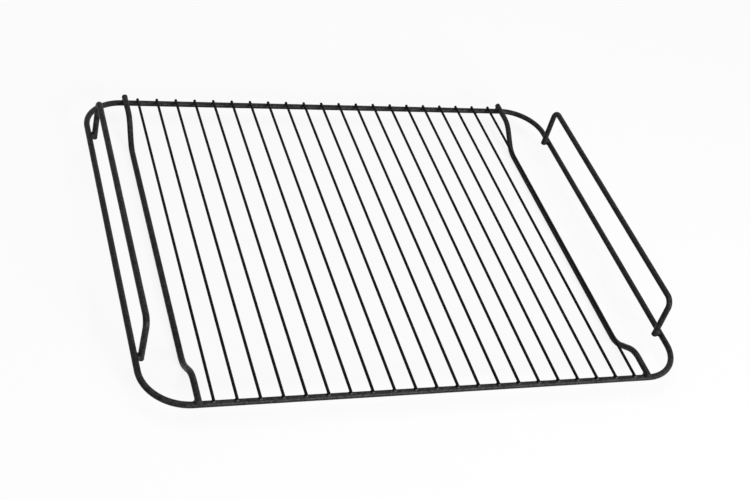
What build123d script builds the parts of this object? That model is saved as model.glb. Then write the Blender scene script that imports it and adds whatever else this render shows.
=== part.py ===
from build123d import *
import math
import os

# Baking dish rack: a welded wire grid that stands in a baking dish on two
# cranked bars and is lifted out by two upright handles.
# Millimetres. X runs along the width, Y from front to back, Z up.
# The origin is under the middle of the rack, on the surface that it stands on.

# Round wire that each piece is bent from, measured over its enamel
frame_wire = 4.6
rest_wire = 4.6
handle_wire = 4.6
grid_wire = 2.2

# Welds: how far each wire is pressed into the rail that it is welded to
weld_set_down = 0.3

# Frame, measured along the wire's axis
frame_width = 410.0
frame_depth = 328.0
frame_corner = 32.0
frame_clearance = 11.0  # from the standing surface to the underside of the frame

# Grid wires, laid across the front and back rails
grid_pitch = 16.0
grid_edge_gap = 5.0  # least clear gap between the outermost wire and a rest bar
grid_end_setback = 0.7  # wire end short of the rail's outer side

# Rest bars, laid across the front and back rails, with a low middle run to stand on
rest_corner_gap = 2.5  # straight rail between a bar's axis and the corner bend
rest_end_overhang = 1.0  # bar end past the rail's outer side
rest_end_chamfer = 0.8
crank_setback = 24.0  # rail axis to the corner of the upper bend
crank_slope = 35.0  # degrees below level
crank_bend = 24.0  # bend radius of the wire's axis

# Handles, welded to the inner sides of the side rails, with feet level with the rail's underside
handle_corner_gap = 12.5  # straight rail between a leg's axis and the corner bend
handle_height = 34.5  # frame axis to grip axis
handle_bend = 7.0  # bend radius of the wire's axis
handle_end_chamfer = 0.8

# A bend or chamfer takes at most this share of the run or the wire that it is cut from
most_of_run = 0.45

# Places that follow from the sizes above
side_x = frame_width / 2
rail_y = frame_depth / 2
frame_z = frame_clearance + frame_wire / 2
rest_x = side_x - frame_corner - rest_corner_gap
rest_top_z = frame_z + (frame_wire + rest_wire) / 2 - weld_set_down
rest_low_z = rest_wire / 2
rest_end_y = rail_y + frame_wire / 2 + rest_end_overhang
grid_z = frame_z + (frame_wire + grid_wire) / 2 - weld_set_down
grid_end_y = rail_y + frame_wire / 2 - grid_end_setback
grid_reach = rest_x - rest_wire / 2 - grid_edge_gap - grid_wire / 2
grid_half_count = math.floor(grid_reach / grid_pitch)
leg_x = side_x - (frame_wire + handle_wire) / 2 + weld_set_down
leg_y = rail_y - frame_corner - handle_corner_gap
leg_foot_z = frame_clearance
grip_z = frame_z + handle_height


def bent_wire(path, diameter):
    """A round wire whose axis follows the path."""
    section = Plane(origin=path @ 0, z_dir=path % 0) * Circle(diameter / 2)
    return sweep(section, path)


def chamfer_ends(wire, axis, length, diameter):
    """The wire with the rims of its two ends, which face along the axis, taken off."""
    ends = wire.faces().filter_by(GeomType.PLANE).filter_by(axis)
    return chamfer(ends.edges(), min(length, most_of_run * diameter))


def make_frame():
    """The closed rectangle with round corners, bent from one wire."""
    corners = [
        (-side_x, -rail_y, frame_z),
        (side_x, -rail_y, frame_z),
        (side_x, rail_y, frame_z),
        (-side_x, rail_y, frame_z),
    ]
    return bent_wire(FilletPolyline(*corners, radius=frame_corner, close=True), frame_wire)


def make_rest_bar(frame, side):
    """A bar with both ends on the rails and its middle run on the standing surface."""
    x = side * rest_x
    slope = math.radians(crank_slope)
    drop = rest_top_z - rest_low_z
    upper_y = rail_y - crank_setback
    lower_y = upper_y - drop / math.tan(slope)
    points = [
        (x, -rest_end_y, rest_top_z),
        (x, -upper_y, rest_top_z),
        (x, -lower_y, rest_low_z),
        (x, lower_y, rest_low_z),
        (x, upper_y, rest_top_z),
        (x, rest_end_y, rest_top_z),
    ]
    ramp = drop / math.sin(slope)
    bend = min(crank_bend, most_of_run * ramp / math.tan(slope / 2))
    bar = bent_wire(FilletPolyline(*points, radius=bend), rest_wire)
    return chamfer_ends(bar, Axis.Y, rest_end_chamfer, rest_wire) - frame


def make_handle(frame, side):
    """A staple whose legs stand against the inner side of a side rail."""
    x = side * leg_x
    points = [
        (x, -leg_y, leg_foot_z),
        (x, -leg_y, grip_z),
        (x, leg_y, grip_z),
        (x, leg_y, leg_foot_z),
    ]
    handle = bent_wire(FilletPolyline(*points, radius=handle_bend), handle_wire)
    return chamfer_ends(handle, Axis.Z, handle_end_chamfer, handle_wire) - frame


def make_grid_wire(frame, x):
    """A straight wire from rail to rail, seated in both."""
    path = Line((x, -grid_end_y, grid_z), (x, grid_end_y, grid_z))
    return bent_wire(path, grid_wire) - frame


frame = make_frame()
pieces = {
    "frame": frame,
    "left_rest_bar": make_rest_bar(frame, -1),
    "right_rest_bar": make_rest_bar(frame, 1),
    "left_handle": make_handle(frame, -1),
    "right_handle": make_handle(frame, 1),
}
for number, step in enumerate(range(-grid_half_count, grid_half_count + 1), start=1):
    pieces[f"grid_wire_{number:02d}"] = make_grid_wire(frame, step * grid_pitch)

os.makedirs("parts", exist_ok=True)
for name, piece in pieces.items():
    export_step(piece, f"parts/{name}.step")
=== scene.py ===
import math
from collections import namedtuple

import bmesh
import bpy
import numpy as np
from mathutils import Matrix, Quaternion, Vector


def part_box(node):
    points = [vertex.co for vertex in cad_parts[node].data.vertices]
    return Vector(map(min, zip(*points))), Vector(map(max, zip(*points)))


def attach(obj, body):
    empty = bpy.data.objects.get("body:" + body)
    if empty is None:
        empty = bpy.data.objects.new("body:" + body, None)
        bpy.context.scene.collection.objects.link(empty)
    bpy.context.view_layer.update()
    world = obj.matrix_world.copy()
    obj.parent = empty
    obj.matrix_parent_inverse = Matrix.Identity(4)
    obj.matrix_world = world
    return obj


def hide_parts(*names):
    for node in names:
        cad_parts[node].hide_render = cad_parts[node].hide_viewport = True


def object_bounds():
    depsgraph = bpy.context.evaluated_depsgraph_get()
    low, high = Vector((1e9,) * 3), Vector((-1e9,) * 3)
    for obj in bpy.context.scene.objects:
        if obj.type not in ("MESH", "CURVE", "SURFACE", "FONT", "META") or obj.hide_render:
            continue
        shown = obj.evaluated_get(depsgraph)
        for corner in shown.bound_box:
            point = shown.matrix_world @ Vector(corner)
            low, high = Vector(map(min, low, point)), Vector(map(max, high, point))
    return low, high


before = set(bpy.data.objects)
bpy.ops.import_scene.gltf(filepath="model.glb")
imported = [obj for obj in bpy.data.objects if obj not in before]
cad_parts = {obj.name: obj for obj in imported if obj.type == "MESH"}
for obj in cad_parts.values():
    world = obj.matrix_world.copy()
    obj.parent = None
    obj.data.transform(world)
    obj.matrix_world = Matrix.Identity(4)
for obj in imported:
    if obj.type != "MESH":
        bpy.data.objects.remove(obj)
cad_low, cad_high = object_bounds()

# A black enamelled wire rack on a white studio floor.
# Metres, in the frame of the solid model: X along the width, Y from front to back, Z up.
mm = 0.001

# Bends of the wires' axes, which the boxes of the nodes don't give
frame_corner = 32 * mm
crank_setback = 24 * mm  # rail axis to the corner of the upper bend
crank_slope = math.radians(35)
crank_bend = 24 * mm
handle_bend = 7 * mm

# Form of the enamel: rounded wire ends that swell a little, and a skin that is never quite even
thick_end_rounding = 0.8 * mm
thin_end_rounding = 0.4 * mm
end_swell = 0.04  # share of the wire's radius
end_swell_reach = 1.2 * mm
skin_unevenness = 0.005  # share of the wire's radius
skin_waves = 7
skin_wave_lengths = (7 * mm, 45 * mm)
skin_most_lobes = 3  # of one wave, round the wire

# Welds: radii of the enamelled fillet between a wire and its rail, towards the wire's
# near end, on its two sides and along its length
grid_fillet = (0.06 * mm, 0.65 * mm, 0.9 * mm)
rest_fillet = (0.30 * mm, 1.6 * mm, 1.8 * mm)
handle_fillet = (0.10 * mm, 1.8 * mm, 1.5 * mm)
fillet_fade = 2  # power of the sine that takes the radius from the wire's sides to its length
fillet_end_fade = 4  # the same towards the near end, steeper so that no lip passes the end
fillet_unevenness = 0.12  # share of the fillet's radius
fillet_lobes = (1, 2, 3)  # of the unevenness, round the joint
weld_sink = 0.03 * mm  # a fillet's edges lie this far under the two skins

# Mesh fineness
thick_sides = 48
thin_sides = 32
thick_step = 2.0 * mm
thin_step = 3.0 * mm
bend_step = math.radians(3)
cap_rings = 6
tip_shares = (0.5, 0.02)  # rings on the flat of a wire's end, as shares of its rim
weld_turns = 56
fillet_rows = 8
sharp_angle = math.radians(50)
seed = 7

# Look of the enamel: grey levels and gloss of the two wires, and a painted highlight on the thin wires'
# ends
thick_greys = (0.004, 0.022)
thick_gloss = 0.08
thin_greys = (0.002, 0.008)
thin_gloss = 0.03
painted_end_highlight_grey = 0.05  # painted highlight: a lighter grey on the ends of the thin wires, where the front light would catch them
painted_highlight_facing = (0.5, 0.8)  # part of the normal along the wire where that painted highlight starts and is full
blue_trace = 1.04

# Noises of the enamel, each a size and a number of finer layers
mottle_noise = (2.6 * mm, 3.0)
speckle_noise = (0.4 * mm, 1.0)
roughness_noise = (2.2 * mm, 2.0)
peel_noise = (1.9 * mm, 2.0)
grain_noise = (0.16 * mm, 1.0)
noise_middle = (0.34, 0.66)  # the levels that most of a noise lies between
speckle_peaks = (0.62, 0.8)  # the levels that only the peaks of a noise reach
roughness_range = (0.30, 0.58)
peel_strength = 0.6
peel_depth = 0.35 * mm
grain_strength = 0.25
grain_depth = 0.015 * mm

# Studio: a pale floor, an even fill, a low light at the front right and a wide one overhead
floor_half = 4.0
floor_gap = 0.02 * mm  # under the rack
floor_grey = 0.12
floor_glow = 0.85
fill_level = 0.3
key_place = (0.8, -2.1, 0.63)
key_width = 0.9
key_power = 84
overhead_place = (0, 0.2, 1.5)
overhead_width = 1.6
overhead_power = 13

# Camera, set at the photograph's viewing angle
camera_eye = Vector((-370.5, -718.0, 667.3)) * mm
camera_aim = Vector((-3.2, -19.0, 13.3)) * mm
camera_roll = math.radians(17.45)
camera_sensor = 36.0
camera_lens = 63.5

# Places read from the boxes of the nodes
frame_low, frame_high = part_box("frame")
frame_radius = (frame_high.z - frame_low.z) / 2
frame_z = (frame_high.z + frame_low.z) / 2
side_x = frame_high.x - frame_radius
rail_y = frame_high.y - frame_radius
along_x = np.array((1.0, 0.0, 0.0))
along_y = np.array((0.0, 1.0, 0.0))
along_z = np.array((0.0, 0.0, 1.0))

random = np.random.default_rng(seed)

# A straight run of a wire's axis, or an arc with the direction to its centre and its radius
Stretch = namedtuple("Stretch", "length start direction inward radius", defaults=(None, None))


def unit(vector):
    """The vector at length one."""
    return vector / np.linalg.norm(vector)


def point_on(stretch, distance):
    """The place and direction at a distance along a stretch."""
    if stretch.inward is None:
        return stretch.start + distance * stretch.direction, stretch.direction
    turn = distance / stretch.radius
    sine, cosine = math.sin(turn), math.cos(turn)
    place = stretch.start + stretch.radius * (sine * stretch.direction + (1 - cosine) * stretch.inward)
    return place, cosine * stretch.direction + sine * stretch.inward


def end_of(stretch):
    """The place where a stretch ends."""
    return point_on(stretch, stretch.length)[0]


def bent_axis(corners, bend, closed=False):
    """A wire's axis from corner to corner, as runs joined by tangent arcs."""
    corners = [np.array(corner, float) for corner in corners]
    count = len(corners)
    turning = [*range(1, count), 0] if closed else range(1, count - 1)
    arcs = []
    for i in turning:
        before = unit(corners[i] - corners[i - 1])
        after = unit(corners[(i + 1) % count] - corners[i])
        angle = math.acos(before @ after)
        trim = bend * math.tan(angle / 2)
        inward = unit(after - (before @ after) * before)
        arcs.append(Stretch(bend * angle, corners[i] - trim * before, before, inward, bend))
    at = end_of(arcs[-1]) if closed else corners[0]
    axis = []
    for arc in arcs:
        axis.append(Stretch(np.linalg.norm(arc.start - at), at, arc.direction))
        axis.append(arc)
        at = end_of(arc)
    if not closed:
        run = corners[-1] - at
        axis.append(Stretch(np.linalg.norm(run), at, unit(run)))
    return axis


def stations(axis, step):
    """Places, directions and distances along an axis, closer together in the bends."""
    places, directions, distances = [], [], []
    passed = 0.0
    for stretch in axis:
        pace = step if stretch.inward is None else bend_step * stretch.radius
        for at in np.linspace(0, stretch.length, math.ceil(stretch.length / pace), endpoint=False):
            place, heading = point_on(stretch, at)
            places.append(place)
            directions.append(heading)
            distances.append(passed + at)
        passed += stretch.length
    place, heading = point_on(axis[-1], axis[-1].length)
    return np.array(places + [place]), np.array(directions + [heading]), np.array(distances + [passed])


def uneven_skin(distances, angles, length):
    """Smooth unevenness around and along a wire, about one high, that closes on itself."""
    total = np.zeros((len(distances), len(angles)))
    for _ in range(skin_waves):
        cycles = round(length / random.uniform(*skin_wave_lengths))
        lobes = random.integers(0, skin_most_lobes + 1)
        phase = random.uniform(0, math.tau)
        turn = math.tau * cycles / length * distances[:, None] + lobes * angles[None, :] + phase
        total += np.cos(turn)
    return total / math.sqrt(skin_waves)


def wire(axis, normal, radius, sides, step, rounding=None):
    """The rings of a round wire along an axis in a plane, closed to a loop if it has no end rounding."""
    places, directions, distances = stations(axis, step)
    length = distances[-1]
    if rounding is None:
        places, directions, distances = places[:-1], directions[:-1], distances[:-1]
    angles = np.arange(sides) * math.tau / sides
    across = np.cross(normal, directions)
    radial = np.cos(angles)[None, :, None] * across[:, None] + np.sin(angles)[None, :, None] * normal
    skin = radius * (1 + skin_unevenness * uneven_skin(distances, angles, length))
    if rounding is None:
        return places[:, None] + skin[..., None] * radial
    to_end = np.minimum(distances, length - distances)
    skin += radius * end_swell * np.exp(-((to_end / end_swell_reach) ** 2))[:, None]
    body = to_end >= rounding
    rings = places[body][:, None] + skin[body][..., None] * radial[body]
    first_cap = end_cap(places[0], directions[0], radial[0], skin[0], rounding)
    last_cap = end_cap(places[-1], -directions[-1], radial[-1], skin[-1], rounding)
    return np.concatenate([first_cap[::-1], rings, last_cap])


def end_cap(tip, inward, radial, skin, rounding):
    """The rings that round off a wire's end, from its side to its tip."""
    rings = []
    for turn in np.linspace(0, math.pi / 2, cap_rings + 1):
        out = (skin - rounding + rounding * math.cos(turn))[:, None] * radial
        rings.append(tip + rounding * (1 - math.sin(turn)) * inward + out)
    rim = rings[-1]
    for share in tip_shares:
        rings.append(tip + share * (rim - tip))
    return np.array(rings)


def collar(rail_point, wire_point, along_wire, wire_radius, fillet):
    """The rings of a weld's fillet, which a ball that rolls round the joint would leave.

    The points are the nearest ones of the two axes, and along_wire points to the wire's near end."""
    up = np.array(wire_point) - np.array(rail_point)
    apart = np.linalg.norm(up)
    up = up / apart
    rail, rod = frame_radius - weld_sink, wire_radius - weld_sink
    turn = np.arange(weld_turns) * math.tau / weld_turns
    towards_end, beside, along = fillet
    end_side = np.cos(turn) > 0
    ahead = np.where(end_side, towards_end, along)
    sideways = np.sin(turn) ** np.where(end_side, fillet_end_fade, fillet_fade)
    ball = beside * sideways + ahead * (1 - sideways)
    for lobes in fillet_lobes:
        wave = np.sin(lobes * turn + random.uniform(0, math.tau))
        ball = ball * (1 + fillet_unevenness / lobes * wave)

    def centre(size):
        """Where a ball of this size touches both skins, all round the joint."""
        low, high = apart - rod - size, rail + size
        z = low + (high - low) * np.sin(turn) ** 2
        x = np.sqrt(np.maximum((rod + size) ** 2 - (z - apart) ** 2, 0)) * np.sign(np.sin(turn))
        y = np.sqrt(np.maximum((rail + size) ** 2 - z ** 2, 0)) * np.sign(np.cos(turn))
        return np.stack([x, y, z], axis=-1)

    middle = centre(ball)
    to_rail = rail / (rail + ball)
    on_rail = middle * np.stack([1 + 0 * ball, to_rail, to_rail], axis=-1)
    rod_axis = np.stack([0 * ball, middle[:, 1], apart + 0 * ball], axis=-1)
    on_rod = rod_axis + (middle - rod_axis) * (rod / (rod + ball))[:, None]
    first, last = (on_rail - middle) / ball[:, None], (on_rod - middle) / ball[:, None]
    sweep = np.arccos(np.clip((first * last).sum(axis=1), -1, 1))[:, None]
    rows = []
    for share in np.linspace(0, 1, fillet_rows + 1):
        out = (np.sin((1 - share) * sweep) * first + np.sin(share * sweep) * last) / np.sin(sweep)
        rows.append(middle + ball[:, None] * out)
    rows.append(centre(0.0))
    local = np.stack(rows, axis=1)
    axes = np.array([np.cross(along_wire, up), along_wire, up])
    return np.array(rail_point) + local @ axes


def ring_faces(rings, first, closed):
    """The faces over rings of points, as a closed loop of rings or with both ends capped."""
    count, sides = rings.shape[:2]
    ring = np.arange(count if closed else count - 1)[:, None] * sides
    side = np.arange(sides)[None, :]
    following = (side + 1) % sides
    beyond = (ring + sides) % (count * sides)
    quads = np.stack([ring + side, ring + following, beyond + following, beyond + side], axis=-1)
    faces = (first + quads.reshape(-1, 4)).tolist()
    if not closed:
        faces.append(list(range(first, first + sides)))
        faces.append(list(range(first + (count - 1) * sides, first + count * sides)))
    return faces


def make_piece(node, wire_rings, closed, collars=()):
    """One smooth mesh from a wire and the fillets of its welds, in place of the node."""
    points, faces = [], []
    for rings, loop in [(wire_rings, closed), *((rings, True) for rings in collars)]:
        faces += ring_faces(rings, len(points), loop)
        points += rings.reshape(-1, 3).tolist()
    name = node + "_enamelled"
    mesh = bpy.data.meshes.new(name)
    mesh.from_pydata(points, [], faces)
    shape = bmesh.new()
    shape.from_mesh(mesh)
    bmesh.ops.recalc_face_normals(shape, faces=shape.faces)
    shape.to_mesh(mesh)
    shape.free()
    mesh.shade_smooth()
    mesh.set_sharp_from_angle(angle=sharp_angle)
    piece = bpy.data.objects.new(name, mesh)
    bpy.context.scene.collection.objects.link(piece)
    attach(piece, "root")
    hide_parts(node)
    return piece


def rail_collars(x, z, radius, fillet):
    """The weld fillets of a wire that lies across the front and back rails."""
    return [
        collar((x, sign * rail_y, frame_z), (x, sign * rail_y, z), sign * along_y, radius, fillet)
        for sign in (-1, 1)
    ]


def make_frame_wire():
    """The closed rectangle with round corners."""
    corners = [(sx * side_x, sy * rail_y, frame_z) for sx, sy in ((-1, -1), (1, -1), (1, 1), (-1, 1))]
    axis = bent_axis(corners, frame_corner, closed=True)
    return make_piece("frame", wire(axis, along_z, frame_radius, thick_sides, thick_step), closed=True)


def make_rest_bar(node):
    """A bar with cranked ends on the rails and a low middle run on the floor."""
    low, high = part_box(node)
    radius = (high.x - low.x) / 2
    x = (low.x + high.x) / 2
    top_z, low_z = high.z - radius, low.z + radius
    upper_y = rail_y - crank_setback
    lower_y = upper_y - (top_z - low_z) / math.tan(crank_slope)
    back_half = [(x, high.y, top_z), (x, upper_y, top_z), (x, lower_y, low_z)]
    front_half = [(px, -py, pz) for px, py, pz in back_half]
    axis = bent_axis(front_half + back_half[::-1], crank_bend)
    rings = wire(axis, along_x, radius, thick_sides, thick_step, thick_end_rounding)
    return make_piece(node, rings, False, rail_collars(x, top_z, radius, rest_fillet))


def make_handle(node):
    """A staple whose legs are welded to the inner side of a side rail."""
    low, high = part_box(node)
    radius = (high.x - low.x) / 2
    x = (low.x + high.x) / 2
    grip_z, leg_y = high.z - radius, high.y - radius
    corners = [(x, -leg_y, low.z), (x, -leg_y, grip_z), (x, leg_y, grip_z), (x, leg_y, low.z)]
    axis = bent_axis(corners, handle_bend)
    rings = wire(axis, along_x, radius, thick_sides, thick_step, thick_end_rounding)
    rail_x = math.copysign(side_x, x)
    collars = [
        collar((rail_x, y, frame_z), (x, y, frame_z), -along_z, radius, handle_fillet)
        for y in (-leg_y, leg_y)
    ]
    return make_piece(node, rings, False, collars)


def make_grid_wire(node):
    """A straight thin wire across the front and back rails."""
    low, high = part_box(node)
    radius = (high.x - low.x) / 2
    x, z = (low.x + high.x) / 2, high.z - radius
    axis = bent_axis([(x, low.y, z), (x, high.y, z)], bend=0.0)
    rings = wire(axis, along_x, radius, thin_sides, thin_step, thin_end_rounding)
    return make_piece(node, rings, False, rail_collars(x, z, radius, grid_fillet))


def finish(piece, material):
    """The piece takes the slot's finish."""
    piece.data.materials.append(material)


def empty_nodes(owner):
    """The shader nodes of a material or a world, cleared."""
    owner.use_nodes = True
    owner.node_tree.nodes.clear()
    return owner.node_tree.nodes


def add(nodes, kind, inputs=(), **settings):
    """A shader node with its settings, input values and input links."""
    node = nodes.new(kind)
    for key, value in settings.items():
        setattr(node, key, value)
    for key, value in dict(inputs).items():
        if isinstance(value, bpy.types.NodeSocket):
            node.id_data.links.new(value, node.inputs[key])
        else:
            node.inputs[key].default_value = value
    return node


def spread(nodes, value, levels, drawn_out=(0.0, 1.0)):
    """The value with its range between two levels drawn out to another range."""
    inputs = {"Value": value, "From Min": levels[0], "From Max": levels[1]}
    inputs |= {"To Min": drawn_out[0], "To Max": drawn_out[1]}
    return add(nodes, "ShaderNodeMapRange", inputs).outputs["Result"]


def grey(level, blue=1.0):
    """A grey, with its blue raised by a factor."""
    return (level, level, blue * level, 1)


def enamel(name, greys, gloss, end_highlight=None):
    """Satin black enamel: mottled grey levels, uneven roughness and an orange-peel skin.

    A straight wire along Y takes a lighter grey, a painted highlight, where its surface faces along Y: on
    its ends and on the fillets there."""
    material = bpy.data.materials.new(name)
    nodes = empty_nodes(material)
    place = add(nodes, "ShaderNodeTexCoord")

    def noise(size, detail):
        inputs = {"Vector": place.outputs["Object"], "Scale": 1 / size, "Detail": detail}
        return add(nodes, "ShaderNodeTexNoise", inputs).outputs["Fac"]

    def blend(share, first, second):
        inputs = {"Factor": share, "A": first, "B": second}
        return add(nodes, "ShaderNodeMix", inputs, data_type="RGBA").outputs["Result"]

    mottle = spread(nodes, noise(*mottle_noise), noise_middle)
    speckle = spread(nodes, noise(*speckle_noise), speckle_peaks)
    tone = add(nodes, "ShaderNodeMath", {0: mottle, 1: speckle}, operation="MAXIMUM").outputs[0]
    dark, light = greys
    colour = blend(tone, grey(dark, blue_trace), grey(light, blue_trace))
    # Painted highlight: where the surface faces along Y, the colour goes to a lighter grey, as if the
    # front light caught the ends
    if end_highlight is not None:
        facing = add(nodes, "ShaderNodeSeparateXYZ", {0: place.outputs["Normal"]}).outputs["Y"]
        facing = add(nodes, "ShaderNodeMath", {0: facing}, operation="ABSOLUTE").outputs[0]
        highlight_share = spread(nodes, facing, painted_highlight_facing)
        colour = blend(highlight_share, colour, grey(end_highlight, blue_trace))
    peel = add(nodes, "ShaderNodeBump", {
        "Height": noise(*peel_noise),
        "Strength": peel_strength,
        "Distance": peel_depth,
    })
    grain = add(nodes, "ShaderNodeBump", {
        "Height": noise(*grain_noise),
        "Strength": grain_strength,
        "Distance": grain_depth,
        "Normal": peel.outputs["Normal"],
    })
    shader = add(nodes, "ShaderNodeBsdfPrincipled", {
        "Base Color": colour,
        "Roughness": spread(nodes, noise(*roughness_noise), noise_middle, roughness_range),
        "Specular IOR Level": gloss,
        "Normal": grain.outputs["Normal"],
    })
    add(nodes, "ShaderNodeOutputMaterial", {"Surface": shader.outputs[0]})
    return material


def seen(nodes):
    """One for camera, glossy and transmitted rays, and nothing for the rays that light the scene."""
    path = add(nodes, "ShaderNodeLightPath")
    kinds = [path.outputs[kind] for kind in ("Is Camera Ray", "Is Glossy Ray", "Is Transmission Ray")]
    pair = add(nodes, "ShaderNodeMath", {0: kinds[0], 1: kinds[1]}, operation="MAXIMUM")
    return add(nodes, "ShaderNodeMath", {0: pair.outputs[0], 1: kinds[2]}, operation="MAXIMUM").outputs[0]


def make_floor():
    """A wide white floor that keeps a faint shadow."""
    bpy.ops.mesh.primitive_plane_add(size=2 * floor_half, location=(0, 0, cad_low.z - floor_gap))
    floor = bpy.context.object
    floor.name = "floor"
    material = bpy.data.materials.new("white_floor")
    nodes = empty_nodes(material)
    lit = add(nodes, "ShaderNodeBsdfDiffuse", {"Color": grey(floor_grey)})
    lift = add(nodes, "ShaderNodeMath", {0: seen(nodes), 1: floor_glow}, operation="MULTIPLY")
    glow = add(nodes, "ShaderNodeEmission", {"Strength": lift.outputs[0]})
    both = add(nodes, "ShaderNodeAddShader", {0: lit.outputs[0], 1: glow.outputs[0]})
    add(nodes, "ShaderNodeOutputMaterial", {"Surface": both.outputs[0]})
    floor.data.materials.append(material)


def make_world():
    """A dim even fill that looks white where it is seen."""
    world = bpy.data.worlds.new("studio")
    nodes = empty_nodes(world)
    level = spread(nodes, seen(nodes), (0.0, 1.0), (fill_level, 1.0))
    back = add(nodes, "ShaderNodeBackground", {"Color": grey(1.0), "Strength": level})
    add(nodes, "ShaderNodeOutputWorld", {"Surface": back.outputs[0]})
    bpy.context.scene.world = world


def make_light(name, place, width, power):
    """A square soft light, aimed at the origin."""
    light = bpy.data.lights.new(name, "AREA")
    light.size = width
    light.energy = power
    lamp = bpy.data.objects.new(name, light)
    lamp.location = place
    lamp.rotation_mode = "QUATERNION"
    lamp.rotation_quaternion = (-Vector(place)).to_track_quat("-Z", "Y")
    bpy.context.scene.collection.objects.link(lamp)


def make_camera():
    """The camera at the photograph's place."""
    lens = bpy.data.cameras.new("camera")
    lens.sensor_width = camera_sensor
    lens.lens = camera_lens
    camera = bpy.data.objects.new("camera", lens)
    camera.location = camera_eye
    camera.rotation_mode = "QUATERNION"
    level = (camera_aim - camera_eye).to_track_quat("-Z", "Y")
    camera.rotation_quaternion = level @ Quaternion((0, 0, 1), camera_roll)
    bpy.context.scene.collection.objects.link(camera)
    bpy.context.scene.camera = camera


thick_enamel = enamel("thick_wire_enamel", thick_greys, thick_gloss)
# The thin wires' enamel carries a painted highlight on their ends
thin_enamel = enamel("thin_wire_enamel", thin_greys, thin_gloss, painted_end_highlight_grey)
finish(make_frame_wire(), thick_enamel)
for hand in ("left", "right"):
    finish(make_rest_bar(hand + "_rest_bar"), thick_enamel)
    finish(make_handle(hand + "_handle"), thick_enamel)
for node in sorted(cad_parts):
    if node.startswith("grid_wire"):
        finish(make_grid_wire(node), thin_enamel)

make_floor()
make_world()
make_light("key", key_place, key_width, key_power)
make_light("overhead", overhead_place, overhead_width, overhead_power)
make_camera()
bpy.context.scene.view_settings.view_transform = "Standard"
